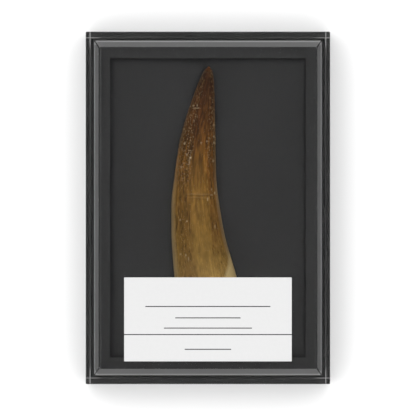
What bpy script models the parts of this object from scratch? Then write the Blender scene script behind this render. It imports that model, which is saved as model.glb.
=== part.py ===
"""A fossil tooth fixed in a small display case with a clear lid and a label card.

The case lies on its back: +Z comes out of its face, +Y runs up the tooth to its tip and +X is to
the right. The origin is the middle of the case's back. Lengths below are in millimetres.
"""
import math

import bmesh
import bpy
from mathutils import Vector

MM = 0.001
TOUCH_GAP = 0.3

# The case, as half its width (X), half its length (Y) and heights over its back
CASE_HALF_X = 31.2
CASE_HALF_Y = 45.0
TRAY_WALL_X = 1.1
TRAY_WALL_Y = 1.56
TRAY_FLOOR = 1.5
TRAY_HEIGHT = 13.0
CORNER_ROUND = 0.25

FOAM_TOP = 11.0
CARD_THICK = 1.2
WINDOW_HALF_X = 25.03
WINDOW_HALF_Y = 38.27

LID_THICK = 1.5
LID_TOP = 20.5
LIP_THICK = 1.2
# The lid's raised centre: its foot on the rim, the top of its steep wall and its flat face
RAISED_FOOT = (29.12, 42.80)
RAISED_DRAFT = (0.25, 0.30)
RAISED_FACE = (27.87, 41.00)
RAISED_CHAMFER_DROP = 1.1

LABEL_HALF_X = 21.45
LABEL_HALF_Y = 10.72
LABEL_CENTRE_Y = -28.47
LABEL_THICK = 0.25

# The tooth's side-to-side outline, from root to tip: Y, middle X and width
TOOTH_STATIONS = (
    (-32.0, 2.60, 15.2),
    (-24.0, 0.70, 16.6),
    (-17.3, -0.70, 16.0),
    (-8.1, -2.37, 14.04),
    (0.1, -3.16, 12.61),
    (8.3, -3.25, 10.79),
    (16.4, -2.68, 9.35),
    (24.6, -1.66, 7.08),
    (30.8, -0.63, 4.65),
    (34.8, 0.04, 2.38),
    (36.25, 0.25, 0.30),
)
TOOTH_DEPTH_SHARE = 0.88
TOOTH_AXIS_ROOT_Z = 11.2
TOOTH_AXIS_TIP_Z = 12.2
RIDGES = 14
RIDGE_HEIGHT = 0.10
RIDGE_FULL_WIDTH = 3.0
BREAK_DEPTH = 2.4
BREAK_REACH = 6.0
ROOT_WALL = 2.6
PULP_DEPTH = 9.0
PULP_SHARE = 0.3
POCKET_GAP = 0.4

TOOTH_RINGS = 54
TOOTH_SIDES = 56
POCKET_RINGS = 22
POCKET_SIDES = 28


def clear_scene():
    for old in list(bpy.data.objects):
        bpy.data.objects.remove(old, do_unlink=True)


def make_collection(name):
    collection = bpy.data.collections.new(name)
    bpy.context.scene.collection.children.link(collection)
    return collection


def make_material(name, color, roughness, metallic=0.0, transmission=0.0):
    material = bpy.data.materials.new(name)
    material.use_nodes = True
    shader = material.node_tree.nodes["Principled BSDF"]
    shader.inputs["Base Color"].default_value = (*color, 1.0)
    shader.inputs["Roughness"].default_value = roughness
    shader.inputs["Metallic"].default_value = metallic
    shader.inputs["Transmission Weight"].default_value = transmission
    return material


def add_object(name, bm, collection, material=None):
    bmesh.ops.recalc_face_normals(bm, faces=bm.faces)
    mesh = bpy.data.meshes.new(name)
    bm.to_mesh(mesh)
    bm.free()
    obj = bpy.data.objects.new(name, mesh)
    collection.objects.link(obj)
    if material:
        mesh.materials.append(material)
    return obj


def move_ring(corners, half_x, half_y, z):
    for corner in corners:
        corner.co = Vector((
            math.copysign(half_x * MM, corner.co.x),
            math.copysign(half_y * MM, corner.co.y),
            z * MM,
        ))


def stepped_box(name, steps, collection, material):
    """One face extruded again and again: each step is the next ring's half width, half length and height."""
    bm = bmesh.new()
    bmesh.ops.create_grid(bm, x_segments=1, y_segments=1, size=1.0)
    move_ring(bm.verts, *steps[0])
    face = bm.faces[:][0]
    for count, (half_x, half_y, z) in enumerate(steps[1:]):
        made = bmesh.ops.extrude_face_region(bm, geom=[face])["geom"]
        move_ring([v for v in made if isinstance(v, bmesh.types.BMVert)], half_x, half_y, z)
        if count > 0:
            bmesh.ops.delete(bm, geom=[face], context="FACES_ONLY")
        face = [f for f in made if isinstance(f, bmesh.types.BMFace)][0]
    return add_object(name, bm, collection, material)


def round_upright_edges(obj, width):
    """Rounds the corners between the walls, and leaves the flat faces' borders crisp."""
    bevel = obj.modifiers.new("Rounded corners", "BEVEL")
    bevel.width = width * MM
    bevel.segments = 2
    bevel.limit_method = "ANGLE"
    bevel.angle_limit = math.radians(60.0)


def station_curve(y, column):
    """A smooth curve through one column of the stations (Catmull-Rom, uneven steps)."""
    rows = TOOTH_STATIONS
    i = max(k for k in range(len(rows) - 1) if rows[k][0] <= y or k == 0)

    def slope(k):
        low, high = rows[max(k - 1, 0)], rows[min(k + 1, len(rows) - 1)]
        return (high[column] - low[column]) / (high[0] - low[0])

    span = rows[i + 1][0] - rows[i][0]
    t = (y - rows[i][0]) / span
    start, end = rows[i][column], rows[i + 1][column]
    return (
        (2 * t**3 - 3 * t**2 + 1) * start
        + (t**3 - 2 * t**2 + t) * span * slope(i)
        + (3 * t**2 - 2 * t**3) * end
        + (t**3 - t**2) * span * slope(i + 1)
    )


def tooth_ring(y, sides, grow, natural):
    """One cross-section: a slightly flattened round.

    A natural ring also has low lengthwise ridges that fade to the root, and a ragged break at the root.
    """
    root_y, tip_y = TOOTH_STATIONS[0][0], TOOTH_STATIONS[-1][0]
    up = (y - root_y) / (tip_y - root_y)
    middle_x = station_curve(y, 1)
    half_width = station_curve(y, 2) / 2 + grow
    half_depth = station_curve(y, 2) / 2 * TOOTH_DEPTH_SHARE + grow
    axis_z = TOOTH_AXIS_ROOT_Z + (TOOTH_AXIS_TIP_Z - TOOTH_AXIS_ROOT_Z) * up
    near_break = max(0.0, 1 - (y - root_y) / BREAK_REACH)
    points = []
    for k in range(sides):
        angle = 2 * math.pi * k / sides
        ridge, ragged = 0.0, 0.0
        if natural:
            crest = max(0.0, math.cos(RIDGES * angle)) * min(1.0, half_width / RIDGE_FULL_WIDTH)
            ridge = RIDGE_HEIGHT * (crest * (0.35 + 0.65 * up) - 1)
            ragged = near_break * BREAK_DEPTH * (
                0.5 + 0.32 * math.sin(3 * angle + 0.6) + 0.18 * math.sin(7 * angle + 2.0)
            )
        points.append(Vector((
            (middle_x + (half_width + ridge) * math.cos(angle)) * MM,
            (y + ragged) * MM,
            (axis_z + (half_depth + ridge) * math.sin(angle)) * MM,
        )))
    return points


def tooth_loft(rings, sides, grow=0.0, natural=False):
    """The sections bridged from root to tip, as one closed bmesh. Returns it with its root face."""
    root_y, tip_y = TOOTH_STATIONS[0][0], TOOTH_STATIONS[-1][0]
    bm = bmesh.new()
    loops = []
    for k in range(rings):
        share = k / (rings - 1)
        eased = 1 - (1 - share) ** 1.35
        y = root_y + (tip_y - root_y) * eased
        past_end = Vector((0.0, grow * (2 * share - 1) * MM, 0.0))
        loops.append([bm.verts.new(p + past_end) for p in tooth_ring(y, sides, grow, natural)])
    for low, high in zip(loops, loops[1:]):
        for k in range(sides):
            after = (k + 1) % sides
            bm.faces.new((low[k], low[after], high[after], high[k]))
    root = bm.faces.new(loops[0])
    bm.faces.new(loops[-1])
    bm.normal_update()
    return bm, root


def make_tray(collection):
    material = make_material("black_plastic", (0.012, 0.012, 0.013), 0.3)
    inner_x, inner_y = CASE_HALF_X - TRAY_WALL_X, CASE_HALF_Y - TRAY_WALL_Y
    tray = stepped_box("tray", (
        (CASE_HALF_X, CASE_HALF_Y, 0.0),
        (CASE_HALF_X, CASE_HALF_Y, TRAY_HEIGHT),
        (inner_x, inner_y, TRAY_HEIGHT),
        (inner_x, inner_y, TRAY_FLOOR),
    ), collection, material)
    round_upright_edges(tray, CORNER_ROUND)
    return tray


def make_foam_pad(collection, cutters):
    material = make_material("black_foam", (0.02, 0.02, 0.021), 0.95)
    half_x = CASE_HALF_X - TRAY_WALL_X - TOUCH_GAP
    half_y = CASE_HALF_Y - TRAY_WALL_Y - TOUCH_GAP
    pad = stepped_box("foam_pad", (
        (half_x, half_y, TRAY_FLOOR + TOUCH_GAP),
        (half_x, half_y, FOAM_TOP),
    ), collection, material)
    pocket_mesh = tooth_loft(POCKET_RINGS, POCKET_SIDES, grow=POCKET_GAP)[0]
    pocket = add_object("tooth_pocket", pocket_mesh, cutters)
    pocket.hide_render = True
    pocket.display_type = "WIRE"
    cut = pad.modifiers.new("Pocket for the tooth", "BOOLEAN")
    cut.operation = "DIFFERENCE"
    cut.object = pocket
    return pad


def make_mount_card(collection):
    material = make_material("black_card", (0.022, 0.022, 0.023), 0.9)
    bottom = FOAM_TOP + TOUCH_GAP
    lip_inset = TRAY_WALL_X + TOUCH_GAP + LIP_THICK + TOUCH_GAP
    outer_x = CASE_HALF_X - lip_inset
    outer_y = CASE_HALF_Y - lip_inset - (TRAY_WALL_Y - TRAY_WALL_X)
    bm = bmesh.new()
    bmesh.ops.create_grid(bm, x_segments=1, y_segments=1, size=1.0)
    move_ring(bm.verts, outer_x, outer_y, bottom)
    middle = bm.faces[:][0]
    bmesh.ops.inset_region(bm, faces=[middle], thickness=MM, use_boundary=True)
    move_ring(middle.verts, WINDOW_HALF_X, WINDOW_HALF_Y, bottom)
    bmesh.ops.delete(bm, geom=[middle], context="FACES_ONLY")
    card = add_object("mount_card", bm, collection, material)
    thicken = card.modifiers.new("Card thickness", "SOLIDIFY")
    thicken.thickness = CARD_THICK * MM
    thicken.offset = 1.0
    return card


def make_tooth(collection):
    material = make_material("tooth_enamel", (0.36, 0.2, 0.07), 0.35)
    bm, root = tooth_loft(TOOTH_RINGS, TOOTH_SIDES, natural=True)
    bmesh.ops.inset_region(bm, faces=[root], thickness=ROOT_WALL * MM, use_even_offset=True)
    made = bmesh.ops.extrude_face_region(bm, geom=[root])["geom"]
    bmesh.ops.delete(bm, geom=[root], context="FACES_ONLY")
    corners = [v for v in made if isinstance(v, bmesh.types.BMVert)]
    centre = sum((v.co for v in corners), Vector()) / len(corners)
    for corner in corners:
        corner.co = centre + (corner.co - centre) * PULP_SHARE
        corner.co.y = centre.y + PULP_DEPTH * MM
    tooth = add_object("tooth", bm, collection, material)
    tooth.data.shade_smooth()
    tooth.data.set_sharp_from_angle(angle=math.radians(40.0))
    return tooth


def make_lid(collection):
    material = make_material("clear_plastic", (1.0, 1.0, 1.0), 0.03, transmission=1.0)
    rim_bottom = TRAY_HEIGHT + TOUCH_GAP
    rim_top = rim_bottom + LID_THICK
    lip_bottom = FOAM_TOP + TOUCH_GAP
    lip_out_x = CASE_HALF_X - TRAY_WALL_X - TOUCH_GAP
    lip_out_y = CASE_HALF_Y - TRAY_WALL_Y - TOUCH_GAP
    wall_x, wall_y = RAISED_FOOT[0] - LID_THICK, RAISED_FOOT[1] - LID_THICK
    lid = stepped_box("lid", (
        (*RAISED_FACE, LID_TOP),
        (RAISED_FOOT[0] - RAISED_DRAFT[0], RAISED_FOOT[1] - RAISED_DRAFT[1], LID_TOP - RAISED_CHAMFER_DROP),
        (*RAISED_FOOT, rim_top),
        (CASE_HALF_X, CASE_HALF_Y, rim_top),
        (CASE_HALF_X, CASE_HALF_Y, rim_bottom),
        (lip_out_x, lip_out_y, rim_bottom),
        (lip_out_x, lip_out_y, lip_bottom),
        (lip_out_x - LIP_THICK, lip_out_y - LIP_THICK, lip_bottom),
        (lip_out_x - LIP_THICK, lip_out_y - LIP_THICK, rim_bottom),
        (wall_x, wall_y, rim_bottom),
        (wall_x - RAISED_DRAFT[0], wall_y - RAISED_DRAFT[1], LID_TOP - LID_THICK),
    ), collection, material)
    return lid


def make_label_card(collection):
    material = make_material("white_card", (0.84, 0.84, 0.83), 0.6)
    bottom = LID_TOP + TOUCH_GAP
    label = stepped_box("label_card", (
        (LABEL_HALF_X, LABEL_HALF_Y, bottom),
        (LABEL_HALF_X, LABEL_HALF_Y, bottom + LABEL_THICK),
    ), collection, material)
    label.location.y = LABEL_CENTRE_Y * MM
    return label


clear_scene()
case = make_collection("fossil_tooth_in_case")
cutters = make_collection("cutters")
make_tray(case)
make_foam_pad(case, cutters)
make_mount_card(case)
make_tooth(case)
make_lid(case)
make_label_card(case)
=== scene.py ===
"""The looks of a fossil tooth in its display case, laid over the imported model. Lengths are in metres."""
import math

import bmesh
import bpy
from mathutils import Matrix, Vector, noise


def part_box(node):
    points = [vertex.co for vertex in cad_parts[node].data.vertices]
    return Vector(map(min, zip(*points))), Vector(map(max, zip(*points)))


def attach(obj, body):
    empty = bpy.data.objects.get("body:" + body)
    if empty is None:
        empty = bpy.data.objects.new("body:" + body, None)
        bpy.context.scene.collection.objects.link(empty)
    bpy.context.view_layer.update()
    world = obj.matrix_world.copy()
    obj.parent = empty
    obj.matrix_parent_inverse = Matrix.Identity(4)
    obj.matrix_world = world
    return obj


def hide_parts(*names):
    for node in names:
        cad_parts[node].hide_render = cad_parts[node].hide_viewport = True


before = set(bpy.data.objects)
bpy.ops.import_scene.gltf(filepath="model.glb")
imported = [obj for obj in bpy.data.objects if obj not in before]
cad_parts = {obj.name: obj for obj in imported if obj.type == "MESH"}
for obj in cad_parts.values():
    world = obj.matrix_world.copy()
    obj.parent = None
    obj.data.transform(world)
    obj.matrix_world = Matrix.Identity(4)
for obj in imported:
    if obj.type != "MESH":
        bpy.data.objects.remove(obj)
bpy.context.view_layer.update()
MM = 0.001

# The camera looks straight down on the case with a very long lens, so that no wall shows. The case
# fills 352 of the picture's 416 pixels from end to end, measured at the lid's flat rim.
PICTURE_PIXELS = 416
CASE_PIXELS = 352.5
RIM_ABOVE_TRAY = 1.8 * MM
OFF_CENTRE = (0.02 * MM, -0.03 * MM)
case_low, case_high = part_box("tray")
rim_level = case_high.z + RIM_ABOVE_TRAY
camera_height = 2.0
view_width = (case_high.y - case_low.y) * PICTURE_PIXELS / CASE_PIXELS
camera = bpy.data.objects.new("camera", bpy.data.cameras.new("camera"))
bpy.context.scene.collection.objects.link(camera)
bpy.context.scene.camera = camera
camera.location = (*OFF_CENTRE, camera_height)
camera.data.sensor_width = 36.0
camera.data.lens = camera.data.sensor_width * (camera_height - rim_level) / view_width
camera.data.clip_start = 0.05
camera.data.clip_end = 20.0


# The studio: a plain white table and a large white tent all round, with a small dark opening
# overhead for the camera, so that the clear lid mirrors nothing bright at it. The tent is a
# little brighter on the upper left.
def place(tree, kind, inputs=None, **settings):
    """One shader node, with its settings and its inputs given as values or as other nodes' outputs."""
    made = tree.nodes.new(kind)
    for name, value in settings.items():
        setattr(made, name, value)
    for name, value in (inputs or {}).items():
        if isinstance(value, bpy.types.NodeSocket):
            tree.links.new(value, made.inputs[name])
        else:
            made.inputs[name].default_value = value
    return made


def ramp(tree, value, *stops):
    """A colour ramp with the given (place, colour) stops."""
    made = place(tree, "ShaderNodeValToRGB", {0: value})
    elements = made.color_ramp.elements
    while len(elements) < len(stops):
        elements.new(1.0)
    for element, (position, color) in zip(elements, stops):
        element.position = position
        element.color = (*color, 1.0) if isinstance(color, tuple) else (color, color, color, 1.0)
    return made.outputs[0]


TENT_STRENGTH = 1.58
scene = bpy.context.scene
scene.view_settings.view_transform = "Standard"
scene.world = bpy.data.worlds.new("white tent")
scene.world.use_nodes = True
tent = scene.world.node_tree
direction = place(tent, "ShaderNodeTexCoord").outputs["Generated"]
toward = place(tent, "ShaderNodeSeparateXYZ", {0: direction})
height_glow = ramp(
    tent, toward.outputs["Z"],
    (0.0, 0.22), (0.35, 0.32), (0.65, 0.72), (0.82, 1.5), (0.96, 1.5), (0.98, 0.02), (1.0, 0.02),
)
side = place(tent, "ShaderNodeVectorMath", {0: direction, 1: (-0.15, 0.14, 0.0)}, operation="DOT_PRODUCT")
side_glow = place(tent, "ShaderNodeMath", {0: side.outputs["Value"], 1: 1.0}, operation="ADD")
glow = place(
    tent, "ShaderNodeVectorMath", {0: height_glow, "Scale": side_glow.outputs[0]}, operation="SCALE",
)
background = tent.nodes["Background"]
background.inputs["Strength"].default_value = TENT_STRENGTH
tent.links.new(glow.outputs[0], background.inputs["Color"])

floor_mesh = bmesh.new()
bmesh.ops.create_circle(floor_mesh, cap_ends=True, segments=64, radius=3.0)
floor = bpy.data.objects.new("table", bpy.data.meshes.new("table"))
floor_mesh.to_mesh(floor.data)
floor_mesh.free()
scene.collection.objects.link(floor)
floor_finish = bpy.data.materials.new("white table")
floor_finish.use_nodes = True
table_shader = floor_finish.node_tree.nodes["Principled BSDF"]
table_shader.inputs["Base Color"].default_value = (0.95, 0.95, 0.95, 1.0)
table_shader.inputs["Roughness"].default_value = 0.8
table_shader.inputs["Specular IOR Level"].default_value = 0.1
floor.data.materials.append(floor_finish)


# The tray: black polystyrene, moulded in one shot with thin walls. It has a soft satin gloss and the
# very fine spark texture that a mould leaves.
def finish_material(name, roughness, specular):
    """A new material, its node tree and its Principled shader with plain gloss values."""
    material = bpy.data.materials.new(name)
    material.use_nodes = True
    tree = material.node_tree
    shader = tree.nodes["Principled BSDF"]
    shader.inputs["Roughness"].default_value = roughness
    shader.inputs["Specular IOR Level"].default_value = specular
    return material, tree, shader


def rub_relief(tree, shader, height, strength, distance):
    """Small relief under the gloss, from a height pattern."""
    relief = place(
        tree, "ShaderNodeBump", {"Height": height, "Strength": strength, "Distance": distance},
    )
    tree.links.new(relief.outputs[0], shader.inputs["Normal"])


def object_noise(tree, scale, detail=2.0, stretch=(1, 1, 1)):
    """A cloudy pattern in the object's own coordinates, with `scale` cells a metre."""
    spot = place(tree, "ShaderNodeTexCoord").outputs["Object"]
    spot = place(tree, "ShaderNodeMapping", {"Vector": spot, "Scale": stretch}).outputs[0]
    made = place(tree, "ShaderNodeTexNoise", {"Vector": spot, "Scale": scale, "Detail": detail})
    return made.outputs[0]


black_plastic, tree, shader = finish_material("black polystyrene", 0.42, 0.4)
cloud = object_noise(tree, 60.0, 4.0)
tree.links.new(ramp(tree, cloud, (0.3, 0.0325), (0.7, 0.0350)), shader.inputs["Base Color"])
rub_relief(tree, shader, object_noise(tree, 1500.0), 0.2, 0.02 * MM)
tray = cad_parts["tray"]
tray.data.materials.clear()
tray.data.materials.append(black_plastic)


# The tooth: one curved, slightly flattened cone of fossil enamel over dentine, broken off ragged at
# the root. Reddish brown and ridged near the tip, golden tan and smooth lower down, with pitted
# flanks, small chips and two hairline cracks across it.

# Y, middle X and width, in millimetres, from root to tip
TOOTH_STATIONS = (
    (-32.0, 2.60, 15.2),
    (-24.0, 0.70, 16.6),
    (-17.3, -0.70, 16.0),
    (-8.1, -2.37, 14.04),
    (0.1, -3.16, 12.61),
    (8.3, -3.25, 10.79),
    (16.4, -2.68, 9.35),
    (24.6, -1.66, 7.08),
    (30.8, -0.63, 4.65),
    (34.8, 0.04, 2.38),
    (36.1, 0.22, 0.30),
)
TOOTH_DEPTH_SHARE = 0.88
TOOTH_AXIS_ROOT_Z = 11.2
TOOTH_AXIS_TIP_Z = 12.2
# How far up from the root the break is ragged, and how deep
BREAK_REACH = 6.0
BREAK_DEPTH = 2.4
ROOT_Y, TIP_Y = TOOTH_STATIONS[0][0], TOOTH_STATIONS[-1][0]


def station_curve(y, column):
    """A smooth curve through one column of the stations."""
    rows = TOOTH_STATIONS
    i = max(k for k in range(len(rows) - 1) if rows[k][0] <= y or k == 0)

    def slope(k):
        low, high = rows[max(k - 1, 0)], rows[min(k + 1, len(rows) - 1)]
        return (high[column] - low[column]) / (high[0] - low[0])

    span = rows[i + 1][0] - rows[i][0]
    t = (y - rows[i][0]) / span
    start, end = rows[i][column], rows[i + 1][column]
    return (
        (2 * t**3 - 3 * t**2 + 1) * start
        + (t**3 - 2 * t**2 + t) * span * slope(i)
        + (3 * t**2 - 2 * t**3) * end
        + (t**3 - t**2) * span * slope(i + 1)
    )


def soft_step(low, high, value):
    """A smooth step from 0 at the low value to 1 at the high one."""
    share = min(1.0, max(0.0, (value - low) / (high - low)))
    return share * share * (3 - 2 * share)


# Chips in the enamel, which show pale dentine: X, Y, half width and half length in millimetres, and
# how pale each one is
CHIPS = (
    (-4.5, 12.8, 0.26, 0.26, 1.0),
    (-5.4, 13.6, 0.20, 0.30, 0.5),
    (-4.7, 11.8, 0.13, 0.80, 0.5),
    (-6.9, 10.4, 0.25, 0.30, 0.4),
    (-6.0, 16.4, 0.22, 0.30, 0.6),
    (-6.2, 20.1, 0.18, 0.26, 0.5),
    (-1.7, 16.6, 0.16, 0.22, 0.5),
    (-0.2, 17.0, 0.20, 0.22, 0.6),
    (1.7, 18.2, 0.20, 0.24, 0.9),
    (1.7, 16.6, 0.20, 0.26, 0.9),
    (1.45, 12.0, 0.18, 0.35, 0.7),
    (1.6, 21.2, 0.16, 0.30, 0.5),
    (-4.7, 26.0, 0.22, 0.22, 0.5),
    (-3.8, 26.1, 0.30, 0.14, 0.6),
    (-2.8, 26.2, 0.16, 0.22, 0.6),
    (-3.05, 25.5, 0.90, 0.10, 0.7),
    (1.9, 3.8, 0.17, 0.34, 1.0),
    (1.05, 3.3, 0.34, 0.17, 0.6),
    (1.05, 4.7, 0.20, 0.30, 0.4),
    (0.0, 2.2, 0.14, 0.42, 0.8),
    (-5.4, -3.4, 0.18, 0.20, 0.8),
    (-7.2, -3.1, 0.24, 0.26, 0.35),
    (1.9, -4.8, 0.11, 0.50, 0.8),
    (-7.05, -11.8, 0.28, 0.28, 0.35),
    (-5.7, -12.1, 0.16, 0.30, 0.5),
    (-5.0, -13.0, 0.11, 0.50, 0.5),
)
# The hairline cracks: Y, from X, to X and how dark
CRACKS = ((3.15, -6.4, 0.5, 0.6), (2.3, -6.0, -0.3, 0.3))
LIP_ABOVE_CRACK = 0.34
# Short dark nicks along the flanks: X, Y, half width and half length in millimetres
NICKS = (
    (-8.05, -3.9, 0.12, 2.0),
    (-7.55, -1.0, 0.10, 1.2),
    (-4.75, -3.4, 0.11, 2.2),
    (-5.3, -1.6, 0.13, 1.0),
    (-4.6, -6.0, 0.10, 1.1),
    (-5.6, 1.2, 0.11, 1.4),
    (-6.3, 4.6, 0.10, 1.2),
    (-5.5, 7.2, 0.11, 0.9),
    (-6.6, 8.9, 0.12, 0.8),
    (-7.4, 6.4, 0.10, 1.3),
    (1.3, -4.6, 0.11, 1.2),
    (2.3, -4.4, 0.10, 0.8),
    (0.75, 2.7, 0.13, 0.6),
    (1.0, 6.0, 0.12, 1.0),
    (1.5, 8.4, 0.10, 1.0),
    (-4.4, -12.4, 0.09, 1.2),
    (-6.4, -9.4, 0.09, 1.5),
)


def chip_at(x, y):
    """How deep in a chip a point of the tooth's upper side lies, from 0 to 1."""
    deepest = 0.0
    for chip_x, chip_y, half_x, half_y, paleness in CHIPS:
        reach = math.hypot((x - chip_x) / half_x, (y - chip_y) / half_y)
        deepest = max(deepest, paleness * (1 - soft_step(0.6, 1.4, reach)))
    return deepest


def above_crack(crack_y, x, y):
    """How far a point lies above a crack, which wavers a little."""
    return y - crack_y - 0.06 * math.sin(1.3 * x)


def crack_share(from_x, to_x, x):
    """How open a crack is at x: it fades out slowly at its left end and quickly at its right end."""
    return soft_step(from_x, from_x + 2.5, x) * (1 - soft_step(to_x, to_x + 0.4, x))


def crack_at(x, y):
    """How far a point lies in a hairline crack or a nick, from 0 to 1."""
    deepest = 0.0
    for crack_y, from_x, to_x, darkness in CRACKS:
        off = abs(above_crack(crack_y, x, y))
        ends = crack_share(from_x, to_x, x)
        deepest = max(deepest, (1 - soft_step(0.03, 0.2, off)) * ends * darkness)
    for nick_x, nick_y, half_x, half_y in NICKS:
        reach = math.hypot((x - nick_x) / half_x, (y - nick_y) / half_y)
        deepest = max(deepest, 0.9 * (1 - soft_step(0.5, 1.5, reach)))
    return deepest


def lip_at(x, y):
    """How far a point lies on the pale lip just above a crack, from 0 to 1."""
    palest = 0.0
    for crack_y, from_x, to_x, darkness in CRACKS:
        off = abs(above_crack(crack_y, x, y) - LIP_ABOVE_CRACK)
        ends = crack_share(from_x, to_x, x)
        palest = max(palest, (1 - soft_step(0.05, 0.24, off)) * ends * darkness)
    return 0.2 * palest


TOOTH_RINGS = 330
TOOTH_SIDES = 240
bm = bmesh.new()
grain_layer = bm.verts.layers.float_vector.new("grain")
marks_layer = bm.verts.layers.float_vector.new("marks")
across_layer = bm.verts.layers.float.new("across")


def tooth_ring(y, share=1.0, deeper=0.0):
    """One ring of points round the tooth at y, with the small relief on its surface.

    A share under 1 draws the ring in towards the middle, for the broken root. Returns its edges.
    """
    up = (y - ROOT_Y) / (TIP_Y - ROOT_Y)
    middle_x, half_width = station_curve(y, 1), station_curve(y, 2) / 2
    axis_z = TOOTH_AXIS_ROOT_Z + (TOOTH_AXIS_TIP_Z - TOOTH_AXIS_ROOT_Z) * up
    near_break = max(0.0, 1 - (y - ROOT_Y) / BREAK_REACH)
    ring = bmesh.ops.create_circle(bm, cap_ends=False, segments=TOOTH_SIDES, radius=1.0)["verts"]
    for vert in ring:
        angle = math.atan2(vert.co.y, vert.co.x)
        across = math.cos(angle)
        x = middle_x + half_width * across
        ragged = near_break * BREAK_DEPTH * (
            0.5 + 0.32 * math.sin(3 * angle + 0.6) + 0.18 * math.sin(7 * angle + 2.0)
        )
        ragged += (1 - share) * noise.noise(Vector((share * 9, 2.5 * across, 2.5 * math.sin(angle))))
        stria = noise.noise(Vector((7.0 * math.cos(angle), y * 0.045, 7.0 * math.sin(angle))))
        stria += 0.6 * noise.noise(Vector((17.0 * math.cos(angle), y * 0.07, 17.0 * math.sin(angle))))
        ridged = 0.05 + 0.07 * soft_step(2.0, 28.0, y)
        left_pits = (1 - soft_step(-0.35, -0.1, across)) * soft_step(3.0, 11.0, y)
        left_pits *= 1 - 0.6 * soft_step(20.0, 27.0, y)
        right_pits = soft_step(0.45, 0.7, across) * soft_step(9.0, 15.0, y)
        pitted = max(left_pits, right_pits)
        grit = noise.noise(Vector((x * 2.6, y * 2.1, 5.0)))
        seen = math.sin(angle) > 0
        chip = max(chip_at(x, y), lip_at(x, y)) if seen else 0.0
        crack = crack_at(x, y) if seen else 0.0
        swell = noise.noise(Vector((x * 0.25, y * 0.16, 1.0)))
        out = min(1.0, half_width / 2.0) * (
            stria * ridged + 0.10 * swell - 0.10 + 0.15 * pitted * grit - 0.12 * chip - 0.05 * crack
        )
        vert.co = Vector((
            middle_x + (half_width + out) * share * across,
            y + ragged + deeper,
            axis_z + (half_width * TOOTH_DEPTH_SHARE + out) * share * math.sin(angle),
        )) * MM
        vert[grain_layer] = (half_width * across, y + deeper, half_width * math.sin(angle))
        vert[marks_layer] = (chip if share == 1.0 else 0.0, crack, pitted)
        vert[across_layer] = across
    return list({edge for vert in ring for edge in vert.link_edges})


rings = [
    tooth_ring(ROOT_Y + (TIP_Y - ROOT_Y) * (1 - (1 - k / (TOOTH_RINGS - 1)) ** 1.2))
    for k in range(TOOTH_RINGS)
]
bmesh.ops.bridge_loops(bm, edges=[edge for ring in rings for edge in ring])
bmesh.ops.contextual_create(bm, geom=rings[-1])
# The broken root: a rough wall of dentine round the pulp's hollow. Each ring has its share of the
# tooth's width and how far it lies inside the break, in millimetres
ROOT_RINGS = (
    (0.95, -0.2), (0.86, 0.1), (0.74, 0.0), (0.62, 0.3), (0.5, 2.0), (0.36, 5.0), (0.14, 8.0),
)
last = rings[0]
for share, deeper in ROOT_RINGS:
    inner = tooth_ring(ROOT_Y, share, deeper)
    bmesh.ops.bridge_loops(bm, edges=last + inner)
    last = inner
bmesh.ops.contextual_create(bm, geom=last)
bmesh.ops.recalc_face_normals(bm, faces=bm.faces)


def make_piece(name, bm, *materials, smooth=True):
    """Turns a finished bmesh into a piece of the object that rides on its one body."""
    piece = bpy.data.objects.new(name, bpy.data.meshes.new(name))
    bm.to_mesh(piece.data)
    bm.free()
    for material in materials:
        piece.data.materials.append(material)
    piece.data.shade_smooth() if smooth else piece.data.shade_flat()
    scene.collection.objects.link(piece)
    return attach(piece, "root")


def mix_color(tree, share, under, over, blend="MIX"):
    """Lays one colour over another, by a share or with a blend mode."""
    made = tree.nodes.new("ShaderNodeMix")
    made.data_type = "RGBA"
    made.blend_type = blend
    for slot, value in ((0, share), (6, under), (7, over)):
        if isinstance(value, bpy.types.NodeSocket):
            tree.links.new(value, made.inputs[slot])
        elif slot == 0:
            made.inputs[slot].default_value = value
        else:
            made.inputs[slot].default_value = (*value, 1.0)
    return made.outputs[2]


def calculate(tree, operation, first, second=0.0):
    """One step of arithmetic in a material."""
    return place(tree, "ShaderNodeMath", {0: first, 1: second}, operation=operation).outputs[0]


def spot_in_mm(tree):
    """The place on the object in its own coordinates, in millimetres."""
    spot = place(tree, "ShaderNodeTexCoord").outputs["Object"]
    return place(tree, "ShaderNodeVectorMath", {0: spot, "Scale": 1000.0}, operation="SCALE").outputs[0]


enamel, tree, shader = finish_material("fossil enamel", 0.42, 0.1)
grain = place(tree, "ShaderNodeAttribute", attribute_name="grain").outputs["Vector"]
marks = place(tree, "ShaderNodeAttribute", attribute_name="marks").outputs["Vector"]
marks = place(tree, "ShaderNodeSeparateXYZ", {0: marks})
grain_parts = place(tree, "ShaderNodeSeparateXYZ", {0: grain})
spot = spot_in_mm(tree)
# How far up the tooth, from 0 at the root to 1 at the tip
up = calculate(tree, "MULTIPLY_ADD", grain_parts.outputs["Y"], 1 / (TIP_Y - ROOT_Y))
up.node.inputs[2].default_value = -ROOT_Y / (TIP_Y - ROOT_Y)
# How far across, from 0 at the left edge to 1 at the right edge
across = place(tree, "ShaderNodeAttribute", attribute_name="across").outputs["Fac"]
across = calculate(tree, "MULTIPLY_ADD", across, 0.5)
across.node.inputs[2].default_value = 0.5


def height_share(y):
    """A place along the tooth, in millimetres, as its share of the way from root to tip."""
    return (y - ROOT_Y) / (TIP_Y - ROOT_Y)


def grain_noise(scale, lengthwise, detail=3.0):
    """Streaks along the tooth: `scale` cells a millimetre round it, fewer along it."""
    stretched = place(tree, "ShaderNodeMapping", {"Vector": grain, "Scale": (1, lengthwise, 1)}).outputs[0]
    made = place(tree, "ShaderNodeTexNoise", {"Vector": stretched, "Scale": scale, "Detail": detail})
    return made.outputs[0]


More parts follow.
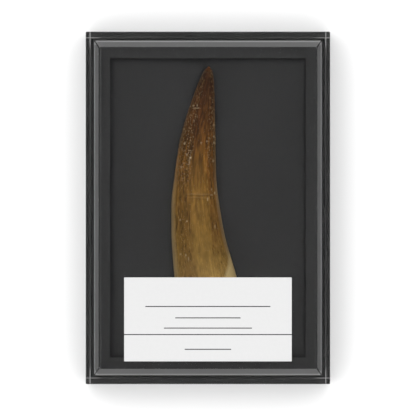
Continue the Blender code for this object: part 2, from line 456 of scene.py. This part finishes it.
body_color = ramp(
    tree, up,
    (height_share(-32), (0.33, 0.22, 0.10)),
    (height_share(-17), (0.37, 0.225, 0.062)),
    (height_share(-12), (0.285, 0.165, 0.037)),
    (height_share(-8.5), (0.283, 0.160, 0.033)),
    (height_share(-6), (0.262, 0.144, 0.0285)),
    (height_share(-3), (0.243, 0.131, 0.0262)),
    (height_share(0), (0.255, 0.134, 0.0265)),
    (height_share(4), (0.270, 0.139, 0.0255)),
    (height_share(8), (0.219, 0.1045, 0.0195)),
    (height_share(10), (0.224, 0.106, 0.0195)),
    (height_share(12), (0.185, 0.0845, 0.0142)),
    (height_share(16), (0.1327, 0.0568, 0.0096)),
    (height_share(19), (0.121, 0.0480, 0.0089)),
    (height_share(22), (0.092, 0.0355, 0.0078)),
    (height_share(28), (0.0770, 0.0296, 0.0084)),
    (height_share(32), (0.0575, 0.0206, 0.0064)),
    (height_share(34.8), (0.064, 0.029, 0.0105)),
    (height_share(35.6), (0.10, 0.035, 0.009)),
    (height_share(36.2), (0.16, 0.045, 0.008)),
)
# Painted shade and rim light across the tooth: dark flanks and pale rims low down, the other way round near
# the tip
low_shade = ramp(
    tree, across,
    (0.03, 1.5), (0.08, 0.92), (0.12, (0.80, 0.77, 0.80)), (0.20, (0.645, 0.61, 0.63)),
    (0.27, (0.665, 0.63, 0.65)), (0.35, (0.725, 0.695, 0.715)), (0.43, 0.86),
    (0.50, 0.95), (0.60, 1.02), (0.72, 1.0), (0.80, 0.92), (0.90, 0.95), (0.95, 1.1), (0.98, 1.4),
)
high_shade = ramp(
    tree, across,
    (0.03, 1.15), (0.08, 0.98), (0.15, 0.90), (0.25, 0.84), (0.33, 0.81), (0.40, 0.69), (0.47, 0.77),
    (0.55, 0.89), (0.62, 1.0), (0.70, 1.36), (0.76, 1.10), (0.82, 0.97), (0.90, 0.98), (0.97, 1.1),
)
shade = mix_color(
    tree, ramp(tree, up, (height_share(3), 0.0), (height_share(17), 1.0)), low_shade, high_shade,
)
color = mix_color(tree, 1.0, body_color, shade, "MULTIPLY")
# Painted shade: a dark band right of a ridge that slants a little, from the middle of the tooth up towards
# the tip
sides = place(tree, "ShaderNodeSeparateXYZ", {0: spot})
off_ridge = calculate(tree, "MULTIPLY_ADD", sides.outputs["Y"], 0.072)
tree.links.new(sides.outputs["X"], off_ridge.node.inputs[2])
past_ridge_shade = place(tree, "ShaderNodeMapRange", {0: off_ridge, 1: 0.3, 2: 0.56}).outputs[0]
ridge_shade_share = ramp(
    tree, up,
    (height_share(-13), 0.0), (height_share(-7), 1.0), (height_share(11), 1.0), (height_share(18), 0.0),
)
color = mix_color(
    tree, calculate(tree, "MULTIPLY", past_ridge_shade, ridge_shade_share), color,
    mix_color(tree, 1.0, color, (0.86, 0.77, 0.82), "MULTIPLY"),
)
# Growth streaks along the tooth, broad and fine, stronger towards the tip
broad = ramp(tree, grain_noise(1.2, 0.04, 2.0), (0.36, 0.65), (0.5, 1.0), (0.64, 1.35))
fine = ramp(tree, grain_noise(2.3, 0.06, 1.0), (0.35, 0.4), (0.5, 1.0), (0.65, 1.6))
streaks = mix_color(tree, 1.0, broad, fine, "MULTIPLY")
streak_share = ramp(tree, up, (height_share(-14), 0.2), (height_share(4), 0.35), (height_share(16), 0.8))
color = mix_color(tree, streak_share, color, mix_color(tree, 1.0, color, streaks, "MULTIPLY"))
red = ramp(tree, grain_noise(0.9, 0.06, 2.0), (0.5, 0.0), (0.64, 1.0))
red_share = calculate(tree, "MULTIPLY", red, ramp(tree, up, (height_share(4), 0.0), (height_share(20), 0.6)))
color = mix_color(tree, red_share, color, mix_color(tree, 1.0, color, (1.12, 0.92, 1.0), "MULTIPLY"))


# Grit in the pitted flanks: pale and dark grains, thickly sown in patches
def grain_dots(moved, low, high):
    """Small dots, one in each cell of an uneven net, in a share of the cells."""
    moved = place(tree, "ShaderNodeMapping", {"Vector": spot, "Location": moved, "Scale": (1.0, 0.7, 1.0)})
    cells = place(tree, "ShaderNodeTexVoronoi", {"Vector": moved.outputs[0], "Scale": 2.3})
    chosen = place(tree, "ShaderNodeSeparateXYZ", {0: cells.outputs["Color"]}).outputs["X"]
    dots = ramp(tree, cells.outputs["Distance"], (low, 1.0), (high, 0.0))
    return calculate(tree, "MULTIPLY", dots, ramp(tree, chosen, (0.1, 0.2), (0.6, 1.0)))


patches = place(tree, "ShaderNodeTexNoise", {"Vector": spot, "Scale": 0.5, "Detail": 1.0}).outputs[0]
grit_share = calculate(tree, "MULTIPLY", marks.outputs["Z"], ramp(tree, patches, (0.32, 0.55), (0.5, 1.0)))
dark_grit = calculate(tree, "MULTIPLY", grain_dots((5.0, 3.0, 1.0), 0.2, 0.55), grit_share)
grit = grain_dots((0.0, 0.0, 0.0), 0.16, 0.46)
pale_grit = calculate(tree, "MULTIPLY", grit, grit_share)
color = mix_color(tree, dark_grit, color, (0.034, 0.014, 0.005))
color = mix_color(tree, pale_grit, color, (0.34, 0.24, 0.13))
# Short dark and pale scratches along the flanks lower down
flanks = ramp(
    tree, across,
    (0.04, 0.0), (0.08, 1.0), (0.30, 1.0), (0.38, 0.2), (0.68, 0.2), (0.74, 1.0), (0.90, 1.0), (0.96, 0.0),
)
flanks = calculate(tree, "MULTIPLY", flanks, ramp(tree, up, (height_share(10), 1.0), (height_share(14), 0.4)))
scratches = grain_noise(3.0, 0.22, 1.0)
dark_scratches = calculate(tree, "MULTIPLY", ramp(tree, scratches, (0.28, 1.0), (0.40, 0.0)), flanks)
pale_scratches = calculate(tree, "MULTIPLY", ramp(tree, scratches, (0.60, 0.0), (0.72, 1.0)), flanks)
color = mix_color(tree, calculate(tree, "MULTIPLY", dark_scratches, 0.75), color, (0.06, 0.026, 0.007))
color = mix_color(tree, calculate(tree, "MULTIPLY", pale_scratches, 0.5), color, (0.44, 0.27, 0.085))
# Soft mottling in the smooth lower half
mottle = place(tree, "ShaderNodeMapping", {"Vector": spot, "Scale": (1.0, 0.45, 1.0)}).outputs[0]
mottle = place(tree, "ShaderNodeTexNoise", {"Vector": mottle, "Scale": 1.1, "Detail": 3.0}).outputs[0]
mottle = ramp(tree, mottle, (0.35, 0.86), (0.65, 1.14))
color = mix_color(
    tree, ramp(tree, up, (height_share(2), 1.0), (height_share(10), 0.3)), color,
    mix_color(tree, 1.0, color, mottle, "MULTIPLY"),
)
# Painted rim light: the tooth's edges turn a pale grey tan, most strongly low down
rim_light = ramp(tree, across, (0.0, 0.9), (0.04, 0.6), (0.10, 0.0), (0.93, 0.0), (0.97, 0.55), (1.0, 0.9))
rim_light_share = ramp(tree, up, (height_share(2), 1.0), (height_share(10), 0.35), (height_share(24), 0.2))
color = mix_color(tree, calculate(tree, "MULTIPLY", rim_light, rim_light_share), color, (0.33, 0.25, 0.14))
# A pale patch low on the right edge, which narrows upwards to nothing
patch_edge = ramp(tree, up, (height_share(-18), 0.44), (height_share(-14.7), 0.19), (height_share(-11), 0.0))
patch = calculate(tree, "ADD", across, calculate(tree, "MULTIPLY", patch_edge, 0.5))
patch = calculate(tree, "SUBTRACT", patch, 1.0)
patch = place(tree, "ShaderNodeMapRange", {0: patch, 1: -0.015, 2: 0.04}).outputs[0]
color = mix_color(tree, patch, color, (0.66, 0.49, 0.22))
crack_color = mix_color(tree, marks.outputs["Y"], color, (0.06, 0.026, 0.007))
color = mix_color(tree, marks.outputs["X"], crack_color, (0.56, 0.45, 0.27))
tree.links.new(color, shader.inputs["Base Color"])
pits = calculate(tree, "MULTIPLY", calculate(tree, "MULTIPLY", grit, marks.outputs["Z"]), 0.6)
relief = calculate(tree, "ADD", grain_noise(1.6, 0.06), pits)
rub_relief(tree, shader, relief, 0.5, 0.06 * MM)
tooth = make_piece("fossil_tooth", bm, enamel)
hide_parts("tooth")


# The foam: a block of fine black closed-cell foam cut to fill the tray. The tooth is pressed into
# it, so its face dips a little where it meets the enamel.
foam_low, foam_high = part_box("foam_pad")
card_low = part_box("mount_card")[0]
# In millimetres: how far the foam lies under the card, its mesh, how deep it dips at the tooth, how
# far out that reaches, and half of the card's window each way
FOAM_GAP = 0.05
FOAM_CELL = 0.36
FOAM_DIP = 0.2
FOAM_DIP_REACH = 0.5
WINDOW_X, WINDOW_Y = 25.03, 38.27
foam_top = card_low.z - FOAM_GAP * MM
foam_size_x, foam_size_y = foam_high.x - foam_low.x, foam_high.y - foam_low.y
bm = bmesh.new()
from_tooth = bm.verts.layers.float.new("from_tooth")
bmesh.ops.create_grid(
    bm, size=0.5,
    x_segments=int(foam_size_x / (FOAM_CELL * MM)), y_segments=int(foam_size_y / (FOAM_CELL * MM)),
)
bmesh.ops.scale(bm, vec=(foam_size_x, foam_size_y, 1.0), verts=bm.verts)
bmesh.ops.translate(bm, vec=(0, (foam_high.y + foam_low.y) / 2, foam_top), verts=bm.verts)
for vert in bm.verts:
    y = min(max(vert.co.y / MM, ROOT_Y), TIP_Y)
    off_x = max(0.0, abs(vert.co.x / MM - station_curve(y, 1)) - station_curve(y, 2) / 2)
    away = math.hypot(off_x, vert.co.y / MM - y)
    vert[from_tooth] = away
    vert.co.z -= FOAM_DIP * math.exp(-away / FOAM_DIP_REACH) * MM
skirt = bmesh.ops.extrude_edge_only(bm, edges=[e for e in bm.edges if e.is_boundary])["geom"]
for vert in skirt:
    if isinstance(vert, bmesh.types.BMVert):
        vert.co.z = foam_low.z
bmesh.ops.contextual_create(bm, geom=[e for e in bm.edges if e.is_boundary])
bmesh.ops.recalc_face_normals(bm, faces=bm.faces)
black_foam, tree, shader = finish_material("black closed-cell foam", 0.95, 0.1)
spot = place(tree, "ShaderNodeTexCoord").outputs["Object"]
cells = place(tree, "ShaderNodeTexVoronoi", {"Vector": spot, "Scale": 2600.0}).outputs["Distance"]
foam_color = mix_color(
    tree, object_noise(tree, 70.0, 3.0), (0.0375, 0.0375, 0.038), (0.0435, 0.0435, 0.044),
)
foam_color = mix_color(tree, ramp(tree, cells, (0.1, 0.0), (0.6, 0.35)), foam_color, (0.053, 0.053, 0.054))
# Painted light makes it a little paler round the tooth, and painted shade makes it darker along the
# card's edges, though less so on the right and at the bottom
stretched = place(tree, "ShaderNodeAttribute", attribute_name="from_tooth").outputs["Fac"]
stretched = ramp(tree, stretched, (0.0, 1.35), (0.5, 1.18), (1.0, 1.08))
foam_color = mix_color(tree, 1.0, foam_color, stretched, "MULTIPLY")
sides = place(tree, "ShaderNodeSeparateXYZ", {0: spot})
nearest = 5.0
for axis, sign, edge in (
    ("X", 1, WINDOW_X), ("Y", -1, WINDOW_Y), ("Y", 1, WINDOW_Y + 0.1), ("X", -1, WINDOW_X + 0.6),
):
    inside = calculate(tree, "MULTIPLY_ADD", sides.outputs[axis], sign / MM)
    inside.node.inputs[2].default_value = edge
    nearest = calculate(tree, "MINIMUM", inside, nearest)
# Painted shade along the card's window edges
painted_edge_shade = ramp(
    tree, calculate(tree, "MULTIPLY", nearest, 0.5),
    (0.0, 0.66), (0.3, 0.70), (0.45, 0.80), (0.6, 0.92), (0.8, 1.0),
)
foam_color = mix_color(tree, 1.0, foam_color, painted_edge_shade, "MULTIPLY")
tree.links.new(foam_color, shader.inputs["Base Color"])
rub_relief(tree, shader, cells, 0.3, 0.05 * MM)
foam = make_piece("foam_block", bm, black_foam, smooth=False)
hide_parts("foam_pad")


# The mount: thick black card cut out with a square-edged window, lying on the foam round the tooth.
black_card, tree, shader = finish_material("black mount card", 0.85, 0.15)
fibres = object_noise(tree, 1500.0, 4.0, (1, 0.35, 1))
card_color = mix_color(
    tree, object_noise(tree, 60.0, 3.0), (0.0505, 0.0505, 0.051), (0.057, 0.057, 0.0575),
)
card_color = mix_color(tree, ramp(tree, fibres, (0.55, 0.0), (0.75, 0.4)), card_color, (0.070, 0.070, 0.071))
tree.links.new(card_color, shader.inputs["Base Color"])
rub_relief(tree, shader, fibres, 0.25, 0.03 * MM)
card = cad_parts["mount_card"]
card.data.materials.clear()
card.data.materials.append(black_card)


# The lid: clear polystyrene moulded in one piece, polished, with a flat rim on the tray's walls, a
# raised and bevelled centre that clears the tooth, and a short lip inside the tray. A fine frosted
# line runs along each side of the rim, and the lines cross at the corners.
lid_low, lid_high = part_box("lid")
# Sizes in millimetres. Pairs are for X and Y, and are half widths for the raised part's foot and face
TRAY_WALL_X = 1.1
TRAY_WALL_Y = 1.56
LID_THICK = 1.5
LIP_THICK = 1.2
LIP_GAP = 0.1
RIM_GAP = 0.02
RAISED_FOOT = (29.00, 42.66)
RAISED_DRAFT = (0.03, 0.04)
HOLLOW_DRAFT = (0.12, 0.15)
RAISED_FACE = (27.87, 41.00)
RAISED_CHAMFER_DROP = 1.1
LINE_WIDTHS = (0.27, 0.21)
LINE_DEPTH = 0.08
LINE_FADE = 80.0
MITRE_FLAT = 0.21
RAISED_ROUND = 0.05
RIM_ROUND = 0.008
HOLLOW_ROUND = 0.02
SAME_PLACE = 0.01
case_x, case_y = lid_high.x / MM, lid_high.y / MM
lid_top = lid_high.z / MM
rim_bottom = case_high.z / MM + RIM_GAP
rim_top = (case_high.z + RIM_ABOVE_TRAY) / MM
lip_bottom = lid_low.z / MM
lip_x, lip_y = case_x - TRAY_WALL_X - LIP_GAP, case_y - TRAY_WALL_Y - LIP_GAP
wall_x, wall_y = RAISED_FOOT[0] - LID_THICK, RAISED_FOOT[1] - LID_THICK
LID_STEPS = (
    (*RAISED_FACE, lid_top),
    (RAISED_FOOT[0] - RAISED_DRAFT[0], RAISED_FOOT[1] - RAISED_DRAFT[1], lid_top - RAISED_CHAMFER_DROP),
    (*RAISED_FOOT, rim_top),
    (case_x, case_y, rim_top),
    (case_x, case_y, rim_bottom),
    (lip_x, lip_y, rim_bottom),
    (lip_x, lip_y, lip_bottom),
    (lip_x - LIP_THICK, lip_y - LIP_THICK, lip_bottom),
    (lip_x - LIP_THICK, lip_y - LIP_THICK, rim_bottom),
    (wall_x, wall_y, rim_bottom),
    (wall_x - HOLLOW_DRAFT[0], wall_y - HOLLOW_DRAFT[1], lid_top - LID_THICK),
)


def move_ring(corners, half_x, half_y, z):
    """Puts the four corners of one step of the lid in their places."""
    for corner in corners:
        corner.co = Vector((
            math.copysign(half_x, corner.co.x), math.copysign(half_y, corner.co.y), z,
        )) * MM


bm = bmesh.new()
bmesh.ops.create_grid(bm, x_segments=1, y_segments=1, size=1.0)
move_ring(bm.verts, *LID_STEPS[0])
face = bm.faces[:][0]
for count, step in enumerate(LID_STEPS[1:]):
    made = bmesh.ops.extrude_face_region(bm, geom=[face])["geom"]
    move_ring([v for v in made if isinstance(v, bmesh.types.BMVert)], *step)
    if count > 0:
        bmesh.ops.delete(bm, geom=[face], context="FACES_ONLY")
    face = [f for f in made if isinstance(f, bmesh.types.BMFace)][0]
bmesh.ops.recalc_face_normals(bm, faces=bm.faces)


def edge_spans(edge):
    """How far an edge reaches in X and in Y."""
    first, second = (vert.co for vert in edge.verts)
    return abs(first.x - second.x), abs(first.y - second.y)


def ease_edges(bm, edges, offset, segments=1):
    """Takes the sharpness off some edges, by an offset in millimetres."""
    bmesh.ops.bevel(
        bm, geom=edges, offset=offset * MM, segments=segments, profile=0.5, affect="EDGES", material=-1,
    )


# The four mitres of the bevel, the other edges of the raised part, the rim and the hollow
ease_edges(bm, [
    e for e in bm.edges
    if min(v.co.z for v in e.verts) > (lid_top - RAISED_CHAMFER_DROP - SAME_PLACE) * MM
    and min(edge_spans(e)) > 0.5 * MM
], MITRE_FLAT)
ease_edges(bm, [
    e for e in bm.edges
    if min(v.co.z for v in e.verts) > (rim_top - SAME_PLACE) * MM
    and max(v.co.z for v in e.verts) > (lid_top - LID_THICK + 0.1) * MM
    and max(abs(v.co.x) for v in e.verts) < (RAISED_FOOT[0] + SAME_PLACE) * MM
    and min(edge_spans(e)) < 0.5 * MM
], RAISED_ROUND, segments=2)
ease_edges(bm, [
    e for e in bm.edges
    if all(abs(v.co.z / MM - rim_top) < SAME_PLACE for v in e.verts)
    and (
        all(abs(v.co.x) > (case_x - SAME_PLACE) * MM for v in e.verts)
        or all(abs(v.co.y) > (case_y - SAME_PLACE) * MM for v in e.verts)
    )
], RIM_ROUND)
ease_edges(bm, [
    e for e in bm.edges if all(abs(v.co.z / MM - lid_top + LID_THICK) < SAME_PLACE for v in e.verts)
], HOLLOW_ROUND)
# The finishes of the rim's lines and of the bevel, which carry painted highlights. All other faces are clear
FROSTED_AND_HIGHLIGHT, SATIN_AND_SHEEN = 1, 2
line_x, line_y = case_x - TRAY_WALL_X, case_y - TRAY_WALL_Y
for line_normal, line_place, line_width in (
    (Vector((1, 0, 0)), line_x, LINE_WIDTHS[0]), (Vector((-1, 0, 0)), line_x, LINE_WIDTHS[0]),
    (Vector((0, 1, 0)), line_y, LINE_WIDTHS[1]), (Vector((0, -1, 0)), line_y, LINE_WIDTHS[1]),
):
    for off in (-line_width / 2, 0.0, line_width / 2):
        bmesh.ops.bisect_plane(
            bm, geom=bm.verts[:] + bm.edges[:] + bm.faces[:],
            plane_co=line_normal * (line_place + off) * MM, plane_no=line_normal,
        )
for face in bm.faces:
    middle = face.calc_center_median() / MM
    on_rim = abs(middle.z - rim_top) < 0.06 and face.normal.z > 0.5
    on_side_line = abs(abs(middle.x) - line_x) < LINE_WIDTHS[0] / 2
    on_end_line = abs(abs(middle.y) - line_y) < LINE_WIDTHS[1] / 2
    if on_rim and (on_side_line or on_end_line):
        face.material_index = FROSTED_AND_HIGHLIGHT
    if face.normal.z < -0.9 and middle.z < lip_bottom + 0.1:
        face.material_index = SATIN_AND_SHEEN
    sloped = 0.3 < face.normal.z < 0.95
    if sloped and middle.z > lid_top - RAISED_CHAMFER_DROP and abs(face.normal.x * face.normal.y) < 0.02:
        face.material_index = SATIN_AND_SHEEN
for vert in bm.verts:
    spot = vert.co / MM
    if abs(spot.z - rim_top) < SAME_PLACE:
        if min(abs(abs(spot.x) - line_x), abs(abs(spot.y) - line_y)) < SAME_PLACE:
            vert.co.z -= LINE_DEPTH * MM

clear, tree, shader = finish_material("clear polystyrene", 0.02, 0.5)
shader.inputs["Base Color"].default_value = (0.97, 0.97, 0.97, 1.0)
shader.inputs["Transmission Weight"].default_value = 1.0
shader.inputs["IOR"].default_value = 1.49


def quarter_spot(tree):
    """The place on the object without its signs, which is the same in all four quarters."""
    spot = place(tree, "ShaderNodeTexCoord").outputs["Object"]
    return place(tree, "ShaderNodeVectorMath", {0: spot}, operation="ABSOLUTE").outputs[0]


# Painted sheen on the bevel: sides darker than ends, highlights on its outer edge, glints in its corners
satin_and_sheen, tree, shader = finish_material("satin bevel", 0.3, 0.5)
spot = place(tree, "ShaderNodeSeparateXYZ", {0: quarter_spot(tree)})
out_x = place(tree, "ShaderNodeMapRange", {
    0: spot.outputs["X"], 1: RAISED_FACE[0] * MM, 2: (RAISED_FOOT[0] - RAISED_DRAFT[0]) * MM,
}).outputs[0]
out_y = place(tree, "ShaderNodeMapRange", {
    0: spot.outputs["Y"], 1: RAISED_FACE[1] * MM, 2: (RAISED_FOOT[1] - RAISED_DRAFT[1]) * MM,
}).outputs[0]
side_painted_sheen = ramp(tree, out_x, (0.0, 0.10), (0.2, 0.127), (0.76, 0.13), (0.84, 0.36), (1.0, 0.38))
end_painted_sheen = ramp(tree, out_y, (0.0, 0.225), (0.2, 0.255), (0.74, 0.255), (0.80, 0.57), (1.0, 0.57))
bevel_painted_light = mix_color(tree, calculate(tree, "GREATER_THAN", out_y, out_x), side_painted_sheen, end_painted_sheen)
corner_glint = ramp(tree, calculate(tree, "MINIMUM", out_x, out_y), (0.2, 0.0), (0.5, 1.0))
bevel_painted_light = mix_color(tree, corner_glint, bevel_painted_light, (0.62, 0.62, 0.62))
# The foot of the lip has the same finish, with painted shade that makes it darker
above_tray = calculate(tree, "GREATER_THAN", spot.outputs["Z"], case_high.z)
bevel_painted_light = mix_color(tree, above_tray, (0.10, 0.10, 0.10), bevel_painted_light)
tree.links.new(bevel_painted_light, shader.inputs["Base Color"])
shader.inputs["Transmission Weight"].default_value = 0.7
shader.inputs["IOR"].default_value = 1.49

# The frosted lines have a painted highlight in the corners, which fades along the sides
frosted_and_highlight, tree, shader = finish_material("frosted line", 0.5, 0.3)
from_centre = place(
    tree, "ShaderNodeVectorMath", {0: quarter_spot(tree), 1: (1000.0, 1000.0, 0.0)},
    operation="DOT_PRODUCT",
).outputs["Value"]
to_corner = calculate(tree, "SUBTRACT", case_x + case_y, from_centre)
line_tone_and_highlight = ramp(
    tree, calculate(tree, "DIVIDE", to_corner, LINE_FADE),
    (0.0, 0.24), (0.056, 0.24), (0.071, 0.085), (0.25, 0.06), (0.5, 0.04),
)
tree.links.new(line_tone_and_highlight, shader.inputs["Base Color"])
lid = make_piece("clear_lid", bm, clear, frosted_and_highlight, satin_and_sheen, smooth=False)
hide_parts("lid")


# The label: a stiff white card stuck on the lid's face over the root, with one full hairline rule
# and four short writing rules printed on it.
label_low, label_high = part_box("label_card")
LABEL_GAP = 0.02 * MM
LABEL_TRIM = 0.1 * MM
LABEL_ROUND = 0.04
label_bottom = lid_high.z + LABEL_GAP
bm = bmesh.new()
bmesh.ops.create_cube(bm, size=1.0)
label_size = label_high - label_low - Vector((LABEL_TRIM, 0.0, 0.0))
bmesh.ops.scale(bm, vec=label_size, verts=bm.verts)
bmesh.ops.translate(bm, vec=(
    0, (label_low.y + label_high.y) / 2, label_bottom + label_size.z / 2,
), verts=bm.verts)
ease_edges(bm, bm.edges[:], LABEL_ROUND, segments=2)
# The card lies higher than the rim, so it is drawn a touch smaller to look its size
closer = (camera_height - label_bottom) / (camera_height - rim_level)
bmesh.ops.scale(bm, vec=(closer, closer, 1.0), verts=bm.verts)
# Each rule's Y and half its length, in millimetres
RULES = ((-32.25, 30.0), (-25.1, 15.9), (-28.0, 8.3), (-30.6, 11.2), (-36.0, 5.9))
RULE_WIDTH = 0.25
white_card, tree, shader = finish_material("white card", 0.6, 0.3)
spot = place(tree, "ShaderNodeSeparateXYZ", {0: spot_in_mm(tree)})
paper = mix_color(tree, object_noise(tree, 1200.0, 4.0), (0.60, 0.60, 0.60), (0.625, 0.625, 0.625))
side_off = calculate(tree, "ABSOLUTE", spot.outputs["X"])
for rule_y, half_length in RULES:
    off = calculate(tree, "ABSOLUTE", calculate(tree, "SUBTRACT", spot.outputs["Y"], rule_y))
    inked = calculate(tree, "LESS_THAN", off, RULE_WIDTH / 2)
    inked = calculate(tree, "MULTIPLY", inked, calculate(tree, "LESS_THAN", side_off, half_length))
    paper = mix_color(tree, inked, paper, (0.03, 0.03, 0.03))
tree.links.new(paper, shader.inputs["Base Color"])
label = make_piece("label", bm, white_card, smooth=False)
label.visible_transmission = False
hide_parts("label_card")
